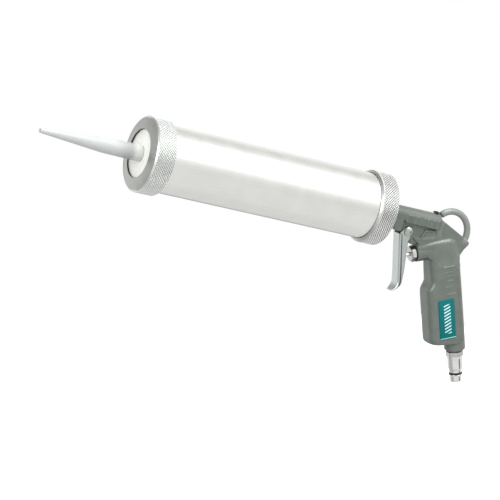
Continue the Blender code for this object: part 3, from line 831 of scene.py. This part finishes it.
# height, front of the web, depth of the flanges and half width, from the pivot down to the tip
TRIGGER_STATIONS = [
    (-3.1, -7.2, 9.0, 6.4), (-12.2, -4.8, 7.9, 6.4), (-21.9, -2.2, 6.7, 6.4), (-32.7, 0.8, 5.2, 6.4),
    (-41.7, 3.0, 3.8, 6.4), (-44.7, 3.3, 3.2, 6.4), (-47.2, 2.7, 2.4, 6.4), (-49.7, 1.3, 2.0, 5.8),
    (-51.5, -0.6, 1.9, 4.0),
]
SHEET = 1.5
GROOVE_SETBACK = 2.1        # from the trigger's front to the middle of the groove in its flanges
GROOVE_HALF = 0.55
GROOVE_DEPTH = 0.6
EAR_R = 4.0
PIN_HOLE_R = 1.65
PIN_R = 1.6
PIN_HEAD = 6.7              # from the middle plane to the underside of the pin's head
PIN_HEAD_R = 4.1


def smooth_path(stations, steps):
    """Stations in between the given ones, on a curve through them."""
    def station(index):
        return Vector(stations[max(0, min(len(stations) - 1, index))])

    path = []
    for i in range(len(stations) - 1):
        before, start, end, after = (station(i + k) for k in (-1, 0, 1, 2))
        for step in range(steps):
            t = step / steps
            square = 2 * before - 5 * start + 4 * end - after
            cube = 3 * start - before - 3 * end + after
            path.append(0.5 * (2 * start + (end - before) * t + square * t ** 2 + cube * t ** 3))
    return path + [station(len(stations) - 1)]


def channel(front, depth, half):
    """The outline of the bent sheet across the trigger, open to the rear."""
    back = front + depth
    outer, inner = 1.9, 0.5
    outline = [(back, -half)]
    outline += arc((front + outer, outer - half), outer, 270, 180, 5)
    outline += arc((front + outer, half - outer), outer, 180, 90, 5)
    outline += [(back, half), (back, half - SHEET)]
    outline += arc((front + SHEET + inner, half - SHEET - inner), inner, 90, 180, 3)
    outline += arc((front + SHEET + inner, SHEET + inner - half), inner, 180, 270, 3)
    outline.append((back, SHEET - half))
    return outline


def sink_grooves(mesh, path):
    """Sinks a groove along each flange, just behind the bend in the sheet, and gives the faces along
    its middle a near-black painted shade.
    """
    to_trigger = (Matrix.Scale(MM, 4) @ TRIGGER).inverted()

    def place(point):
        """How far a point is from the groove's middle, in half widths of the groove, and its side."""
        x, y, z = to_trigger @ point
        spans = ((a, b) for a, b in zip(path, path[1:]) if b[0] <= z <= a[0])
        upper, lower = next(spans, (path[0], path[0]))
        share = (z - upper[0]) / (lower[0] - upper[0]) if lower[0] < upper[0] else 0.0
        front, half = (upper[k] + (lower[k] - upper[k]) * share for k in (1, 3))
        inside = abs(y) > half - 1.0 and path[-1][0] + 1.5 < z < path[0][0]
        width = GROOVE_HALF * (0.8 + 0.9 * z / path[-1][0])
        return ((x - front - GROOVE_SETBACK) / width if inside else math.inf), y

    for vert in mesh.vertices:
        away, y = place(vert.co)
        if math.isfinite(away):
            vert.co.y -= math.copysign(GROOVE_DEPTH * tent(away, 1.0), y) * MM
    for face in mesh.polygons:
        # painted shade: the groove's middle faces take the near-black finish
        if abs(place(face.center)[0]) < 0.75:
            face.material_index = 1


def build_trigger():
    path = smooth_path([Vector(s) for s in TRIGGER_STATIONS], 5)
    sections = [[(x, y, z) for x, y in channel(front, depth, half)] for z, front, depth, half in path]
    ear = [(-5.0, -7.1), (2.9, -7.1)] + list(arc((0.0, 0.0), EAR_R, -15, 150, 16)) + [(-6.4, -1.6)]
    ears = [extruded(ear, side * 4.85, side * 6.45) for side in (-1, 1)]
    lever = as_object("bent_trigger", joined(lofted(sections), *ears), TRIGGER)
    fuse(lever, 0.25, 3)
    rod = turned([(-9.0, 0.0), (-9.0, PIN_HOLE_R), (9.0, PIN_HOLE_R), (9.0, 0.0)], 32)
    cut(lever, [as_object("hole", rod, TRIGGER @ SIDEWAYS)])
    finish_piece(lever, "trigger", [MATERIALS["zinc"], MATERIALS["painted_groove_shadow"]],
                 ["trigger"], 60.0)
    sink_grooves(lever.data, path)

    half = [(PIN_HEAD, PIN_R), (PIN_HEAD, PIN_HEAD_R)]
    half += [(PIN_HEAD + 0.2 + 1.6 * height, PIN_HEAD_R * width)
             for width, height in arc((0.0, 0.0), 1.0, 0, 80, 8)]
    half.append((PIN_HEAD + 1.8, 0.0))
    profile = [(-x, r) for x, r in reversed(half)] + half
    finish_piece(as_object("domed_pin", turned(profile, 48), TRIGGER @ SIDEWAYS),
                 "gun", [MATERIALS["pin"]], ["trigger_pin"])


def build_valve():
    bore = STEM_R + 0.3
    corner = NUT_FLATS / 2 / math.cos(math.radians(30.0))
    nut = [(NUT_FRONT, bore), (NUT_FRONT, 5.6), (NUT_FRONT + 0.25, 6.0), (NUT_FRONT + 0.8, corner),
           (NUT_SEAT - 0.5, corner), (NUT_SEAT, 6.2), (NUT_SEAT, NUT_SKIRT_R), (NUT_END, NUT_SKIRT_R),
           (NUT_END, 3.7), (PACKING, 3.7), (PACKING, bore)]
    bm = turned(nut, 96, hexagon(NUT_FLATS, NUT_FRONT, NUT_SEAT, NUT_TURN))
    finish_piece(as_object("hexagonal_gland", bm, VALVE), "gun",
                 [MATERIALS["nut"]], ["gland_nut"], 22.0)

    bm = washer(VALVE_FRONT - 0.8, VALVE_FRONT - 0.1, 4.95, 6.6, 0.15)
    finish_piece(as_object("gland_seal", bm, VALVE), "gun",
                 [MATERIALS["rubber"]], ["gland_washer"])

    stem = [(STEM_TIP, 0.0), (STEM_TIP + 0.05, 0.5), (STEM_TIP + 0.3, 1.05), (STEM_TIP + 0.8, 1.45),
            (STEM_TIP + 1.1, STEM_R), (STEM_END, STEM_R), (STEM_END, 0.0)]
    finish_piece(as_object("rounded_stem", turned(stem, 40), VALVE), "valve",
                 [MATERIALS["chrome"]], ["valve_stem"])


def coil():
    """The spring's wire, swept along a helix whose turns lie closer together toward both ends."""
    steps = 24 * SPRING_TURNS
    length = SPRING_END - SPRING_START - 2 * SPRING_WIRE_R
    rings = []
    for i in range(steps + 1):
        share = i / steps
        along = share - 0.5 * math.sin(2 * math.pi * share) / (2 * math.pi)
        angle = 2 * math.pi * SPRING_TURNS * share
        outward = Vector((0.0, math.cos(angle), math.sin(angle)))
        centre = Vector((SPRING_START + SPRING_WIRE_R + length * along, 0.0, 0.0)) + outward * SPRING_R
        rings.append([centre + outward * a + Vector((b, 0.0, 0.0))
                      for a, b in arc((0.0, 0.0), SPRING_WIRE_R, 0, 324, 9)])
    return lofted(rings)


def build_spring():
    """The spring, in a mesh of its own; on the gun it shortens against its rear end as the trigger
    pushes the valve open.
    """
    spring = finish_piece(as_object("closing_spring", coil(), VALVE), "gun",
                          [MATERIALS["spring"]], ["valve_spring"], 60.0)
    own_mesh(spring)


def build_plug():
    groove = O_RING_MIDDLE
    plug = [(PLUG_TOP, PLUG_BORE_R), (PLUG_TOP, INLET_THREAD_R), (PLUG_START, INLET_THREAD_R),
            (PLUG_START, 7.5), (PLUG_WAIST - 2.0, 7.5), (PLUG_WAIST, 6.4), (PLUG_BODY, 6.2),
            (PLUG_BODY + 0.7, 5.6), (groove - 0.9, 5.5), (groove - 0.8, PLUG_GROOVE_R),
            (groove + 0.8, PLUG_GROOVE_R), (groove + 0.9, 5.6), (PLUG_BEAD_END, 5.7),
            (PLUG_BEAD_END + 0.6, 5.0), (PLUG_NOSE - 0.8, 5.0), (PLUG_NOSE, 4.3),
            (PLUG_NOSE, PLUG_BORE_R)]
    bm = turned(softened(plug, 0.3), 96, hexagon(PLUG_FLATS, PLUG_START, PLUG_WAIST))
    for face in bm.faces:
        face.material_index = int(face.calc_center_median().x < PLUG_WAIST - 1.0)
    finish_piece(as_object("coupling_plug", bm, INLET), "gun",
                 [MATERIALS["chrome"], MATERIALS["nut"]], ["air_plug"], 30.0)
    ring = [(groove + 0.6 * x, PLUG_GROOVE_R + 0.1 + 0.5 * (1.0 + r))
            for x, r in arc((0.0, 0.0), 1.0, 0, 345, 23)]
    finish_piece(as_object("round_o_ring", turned(ring), INLET), "gun",
                 [MATERIALS["rubber"]], ["plug_o_ring"])
    bm = washer(PLUG_START - 0.6, PLUG_START - 0.1, INLET_THREAD_R + 0.1, INLET_THREAD_R + 0.4, 0.1)
    finish_piece(as_object("thin_inlet_seal", bm, INLET), "gun",
                 [MATERIALS["rubber"]], ["inlet_washer"])


# CAD nodes whose shape is kept: their finish and the record's slot for it
KEPT_NODES = {
    "cartridge_plunger": ("milky", "milky_plastic"),
    "rear_gasket": ("rubber", "black_rubber"),
    "barrel_adapter": ("brass", "brass"),
    "outlet_washer": ("rubber", "black_rubber"),
    "stem_seal": ("rubber", "black_rubber"),
    "valve_seat": ("brass", "brass"),
    "poppet_seal": ("rubber", "black_rubber"),
    "valve_poppet": ("brass", "brass"),
}


def paint_kept_nodes():
    for name, (finish, slot) in KEPT_NODES.items():
        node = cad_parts[name]
        for material_slot in node.material_slots:
            material_slot.link = "OBJECT"
            material_slot.material = MATERIALS[finish]


# ---------------------------------------------------------------- studio

CAMERA_AZIMUTH = math.radians(-28.108)
CAMERA_ELEVATION = math.radians(5.064)
CAMERA_ROLL = math.radians(14.939)
CAMERA_AIM = Vector((-0.190722, 0.0, 0.009553))
CAMERA_DISTANCE = 2.158953
CAMERA_ANGLE = math.radians(10.748382)

# Patches of the studio: direction, cosines at the patch's edge and in its middle, added brightness
STUDIO_BASE = 0.86
STUDIO_PATCHES = [
    ((0.469, -0.519, 0.714), 0.78, 0.99, 0.9),      # softbox high on the front right
    ((0.469, 0.80, 0.36), 0.93, 0.99, 0.15),        # bright wall behind on the right
    ((0.469, 0.49, 0.735), 0.93, 0.99, -0.16),      # dimmer ceiling above it
    ((-0.15, 0.02, 0.98), 0.955, 0.985, 6.0),       # lamp overhead
    ((0.08, -0.55, 0.83), 0.955, 0.985, 5.0),       # lamp over the front
    ((-0.87, -0.42, 0.20), 0.95, 0.985, 4.0),       # lamp on the left
    ((-0.38, 0.88, -0.28), 0.90, 0.97, 0.22),       # wall behind
    ((0.30, 0.55, -0.78), 0.62, 0.97, -0.08),       # floor behind the object
    ((0.469, 0.87, -0.16), 0.925, 0.985, -0.66),    # foot of the wall behind on the right
    ((-0.45, 0.50, 0.74), 0.75, 0.95, -0.45),       # dim ceiling behind on the left
    ((-0.52, 0.25, -0.82), 0.70, 0.93, -0.34),      # dim floor on the left
    ((0.776, -0.624, -0.09), 0.97, 0.985, -0.65),   # dark flag on the right, which chrome mirrors
    ((-0.45, -0.89, -0.05), 0.975, 0.992, -0.45),   # dark flag on the left
]


def build_world():
    """A white backdrop for the camera, and a studio of soft patches for everything else."""
    world = bpy.data.worlds.new("studio")
    bpy.context.scene.world = world
    world.use_nodes = True
    nodes, links = world.node_tree.nodes, world.node_tree.links
    nodes.clear()
    direction = nodes.new("ShaderNodeTexCoord").outputs["Generated"]
    total = STUDIO_BASE
    for towards, edge, middle, added in STUDIO_PATCHES:
        dot = nodes.new("ShaderNodeVectorMath")
        dot.operation = "DOT_PRODUCT"
        links.new(direction, dot.inputs[0])
        dot.inputs[1].default_value = Vector(towards).normalized()
        patch = nodes.new("ShaderNodeMapRange")
        patch.interpolation_type = "SMOOTHSTEP"
        links.new(dot.outputs["Value"], patch.inputs["Value"])
        patch.inputs["From Min"].default_value = edge
        patch.inputs["From Max"].default_value = middle
        patch.inputs["To Max"].default_value = added
        sum_node = nodes.new("ShaderNodeMath")
        links.new(patch.outputs[0], sum_node.inputs[0])
        feed(world.node_tree, sum_node.inputs[1], total)
        total = sum_node.outputs[0]
    studio = nodes.new("ShaderNodeBackground")
    links.new(total, studio.inputs["Strength"])
    studio.inputs["Color"].default_value = (*WHITE, 1.0)
    backdrop = nodes.new("ShaderNodeBackground")
    backdrop.inputs["Color"].default_value = (*WHITE, 1.0)
    choice = nodes.new("ShaderNodeMixShader")
    path = nodes.new("ShaderNodeLightPath")
    output = nodes.new("ShaderNodeOutputWorld")
    links.new(path.outputs["Is Camera Ray"], choice.inputs[0])
    links.new(studio.outputs[0], choice.inputs[1])
    links.new(backdrop.outputs[0], choice.inputs[2])
    links.new(choice.outputs[0], output.inputs["Surface"])


FLOOR_Z = -300.0
FLOOR_R = 3000.0


def build_floor():
    bm = bmesh.new()
    bmesh.ops.create_circle(bm, cap_ends=True, segments=96, radius=FLOOR_R)
    floor = as_object("floor", bm, Matrix.Translation((0.0, 0.0, FLOOR_Z)))
    finish = Finish("floor_white", (0.9, 0.9, 0.9), roughness=0.9, specular=0.0)
    finish.shader.inputs["Emission Color"].default_value = (*WHITE, 1.0)
    finish.shader.inputs["Emission Strength"].default_value = 0.35
    floor.data.materials.append(finish.material)
    floor.visible_glossy = False
    floor.visible_diffuse = False


def build_camera():
    azimuth, elevation, roll = CAMERA_AZIMUTH, CAMERA_ELEVATION, CAMERA_ROLL
    back = Vector((math.sin(azimuth) * math.cos(elevation), -math.cos(azimuth) * math.cos(elevation),
                   math.sin(elevation)))
    right = Vector((math.cos(azimuth), math.sin(azimuth), 0.0))
    up = back.cross(right)
    across = right * math.cos(roll) + up * math.sin(roll)
    upward = up * math.cos(roll) - right * math.sin(roll)
    data = bpy.data.cameras.new("camera")
    data.sensor_fit = "HORIZONTAL"
    data.angle = CAMERA_ANGLE
    data.clip_start, data.clip_end = 0.05, 50.0
    camera = bpy.data.objects.new("camera", data)
    turn = Matrix((across, upward, back)).transposed().to_4x4()
    camera.matrix_world = Matrix.Translation(CAMERA_AIM + back * CAMERA_DISTANCE) @ turn
    bpy.context.scene.collection.objects.link(camera)
    bpy.context.scene.camera = camera


build_rings()
build_tube()
build_cartridge()
build_handle()
build_handle_trim()
build_trigger()
build_valve()
build_spring()
build_plug()
paint_kept_nodes()
build_world()
build_floor()
build_camera()
bpy.context.scene.view_settings.view_transform = "Standard"
